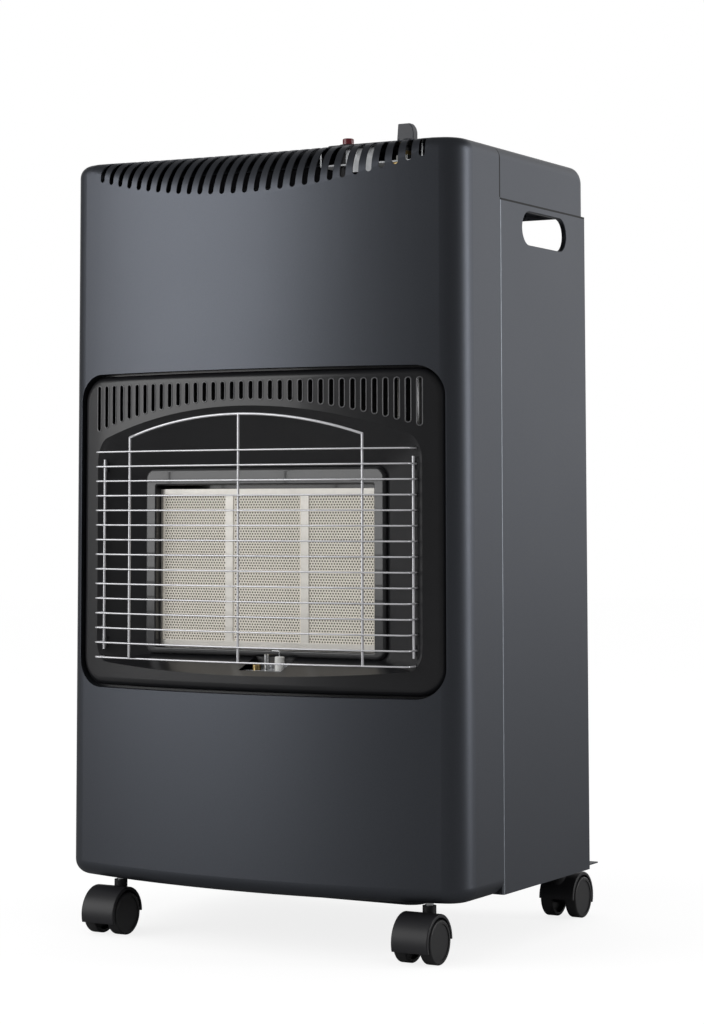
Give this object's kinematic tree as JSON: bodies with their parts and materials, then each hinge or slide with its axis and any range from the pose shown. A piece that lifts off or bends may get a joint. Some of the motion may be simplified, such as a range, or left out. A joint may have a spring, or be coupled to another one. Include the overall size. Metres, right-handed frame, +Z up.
{
  "type": "portable gas cabinet heater",
  "caption": "Portable gas cabinet heater with a bowed slate front, ceramic burner behind a wire guard, top controls, open bottle bay and twin-wheel casters.",
  "frame": {"origin": "centre of the footprint, on the floor under the casters", "axes": "the front faces -Y, +X is the viewer's right when looking at the front, +Z is up"},
  "size_m": [0.432, 0.373, 0.7655],
  "materials": {
    "slate_paint": "satin metallic slate",
    "dark_paint": "satin",
    "black_enamel": "gloss",
    "bright_frame": "bright",
    "burner_casting": "satin",
    "zinc_steel": "bright zinc plate",
    "ceramic": "matt, perforated",
    "guard_chrome": "bright",
    "black_clip": "satin",
    "dark_red": "gloss",
    "brass": "satin",
    "steel_pin": "bright",
    "pipe": "satin",
    "cable": "satin",
    "caster_black": "satin",
    "wheel_black": "satin"
  },
  "bodies": {
    "cabinet": {"front_panel": "slate_paint", "window_surround": "black_enamel", "reflector": "black_enamel", "burner_box": "burner_casting", "plaque_left": "ceramic", "plaque_centre": "ceramic", "plaque_right": "ceramic", "plaque_frame": "bright_frame", "mixing_tubes": "burner_casting", "gas_manifold": "burner_casting", "injectors": "brass", "burner_brackets": "zinc_steel", "guard_grille": "guard_chrome", "guard_clips": "black_clip", "right_side_panel": "slate_paint", "left_side_panel": "slate_paint", "rear_top_lid": "slate_paint", "case_screws": "zinc_steel", "base_pan": "dark_paint", "heat_shield": "zinc_steel", "control_plate": "black_clip", "control_bracket": "zinc_steel", "gas_valve": "brass", "valve_nut": "zinc_steel", "hose_tail": "brass", "igniter_body": "black_clip", "igniter_nut": "black_clip", "supply_pipe": "pipe", "pilot_pipe": "pipe", "ignition_lead": "cable", "thermocouple_lead": "pipe", "pilot_bracket": "zinc_steel", "pilot_burner": "brass", "thermocouple": "steel_pin", "spark_electrode": "ceramic", "electrode_wire": "steel_pin", "caster_stems": "zinc_steel", "caster_sockets": "zinc_steel"},
    "tap_plug": {"valve_plug": "brass"},
    "knob": {"control_knob": "black_clip", "valve_spindle": "steel_pin"},
    "button": {"igniter_button": "dark_red"},
    "front_left_caster": {"caster_front_left_hood": "caster_black", "caster_front_left_axle": "zinc_steel"},
    "front_left_wheel_left": {"caster_front_left_wheel_left": "wheel_black"},
    "front_left_wheel_right": {"caster_front_left_wheel_right": "wheel_black"},
    "front_right_caster": {"caster_front_right_hood": "caster_black", "caster_front_right_axle": "zinc_steel"},
    "front_right_wheel_left": {"caster_front_right_wheel_left": "wheel_black"},
    "front_right_wheel_right": {"caster_front_right_wheel_right": "wheel_black"},
    "rear_left_caster": {"caster_rear_left_hood": "caster_black", "caster_rear_left_axle": "zinc_steel"},
    "rear_left_wheel_left": {"caster_rear_left_wheel_left": "wheel_black"},
    "rear_left_wheel_right": {"caster_rear_left_wheel_right": "wheel_black"},
    "rear_right_caster": {"caster_rear_right_hood": "caster_black", "caster_rear_right_axle": "zinc_steel"},
    "rear_right_wheel_left": {"caster_rear_right_wheel_left": "wheel_black"},
    "rear_right_wheel_right": {"caster_rear_right_wheel_right": "wheel_black"}
  },
  "joints": [
    {"name": "knob_turn", "type": "hinge", "parent": "cabinet", "child": "tap_plug", "pos_m": [0.139, -0.1095, 0.7], "axis": [0, 0, 1], "range_deg": [0, 200]},
    {"name": "knob_push", "type": "slide", "parent": "tap_plug", "child": "knob", "axis": [0, 0, -1], "range_m": [0, 0.005], "stiffness_N_per_m": 900},
    {"name": "button_push", "type": "slide", "parent": "cabinet", "child": "button", "axis": [0, 0, -1], "range_m": [0, 0.006], "stiffness_N_per_m": 1200},
    {"name": "front_left_caster_swivel", "type": "hinge", "parent": "cabinet", "child": "front_left_caster", "pos_m": [-0.1686, -0.1267, 0.042], "axis": [0, 0, 1], "continuous": true},
    {"name": "front_left_wheel_left_roll", "type": "hinge", "parent": "front_left_caster", "child": "front_left_wheel_left", "pos_m": [-0.18185, -0.1417, 0.02], "axis": [1, 0, 0], "continuous": true},
    {"name": "front_left_wheel_right_roll", "type": "hinge", "parent": "front_left_caster", "child": "front_left_wheel_right", "pos_m": [-0.15535, -0.1417, 0.02], "axis": [1, 0, 0], "continuous": true},
    {"name": "front_right_caster_swivel", "type": "hinge", "parent": "cabinet", "child": "front_right_caster", "pos_m": [0.1686, -0.1267, 0.042], "axis": [0, 0, 1], "continuous": true},
    {"name": "front_right_wheel_left_roll", "type": "hinge", "parent": "front_right_caster", "child": "front_right_wheel_left", "pos_m": [0.15535, -0.1417, 0.02], "axis": [1, 0, 0], "continuous": true},
    {"name": "front_right_wheel_right_roll", "type": "hinge", "parent": "front_right_caster", "child": "front_right_wheel_right", "pos_m": [0.18185, -0.1417, 0.02], "axis": [1, 0, 0], "continuous": true},
    {"name": "rear_left_caster_swivel", "type": "hinge", "parent": "cabinet", "child": "rear_left_caster", "pos_m": [-0.1715, 0.1465, 0.042], "axis": [0, 0, 1], "continuous": true},
    {"name": "rear_left_wheel_left_roll", "type": "hinge", "parent": "rear_left_caster", "child": "rear_left_wheel_left", "pos_m": [-0.18475, 0.1615, 0.02], "axis": [1, 0, 0], "continuous": true},
    {"name": "rear_left_wheel_right_roll", "type": "hinge", "parent": "rear_left_caster", "child": "rear_left_wheel_right", "pos_m": [-0.15825, 0.1615, 0.02], "axis": [1, 0, 0], "continuous": true},
    {"name": "rear_right_caster_swivel", "type": "hinge", "parent": "cabinet", "child": "rear_right_caster", "pos_m": [0.1715, 0.1465, 0.042], "axis": [0, 0, 1], "continuous": true},
    {"name": "rear_right_wheel_left_roll", "type": "hinge", "parent": "rear_right_caster", "child": "rear_right_wheel_left", "pos_m": [0.15825, 0.1615, 0.02], "axis": [1, 0, 0], "continuous": true},
    {"name": "rear_right_wheel_right_roll", "type": "hinge", "parent": "rear_right_caster", "child": "rear_right_wheel_right", "pos_m": [0.18475, 0.1615, 0.02], "axis": [1, 0, 0], "continuous": true}
  ]
}
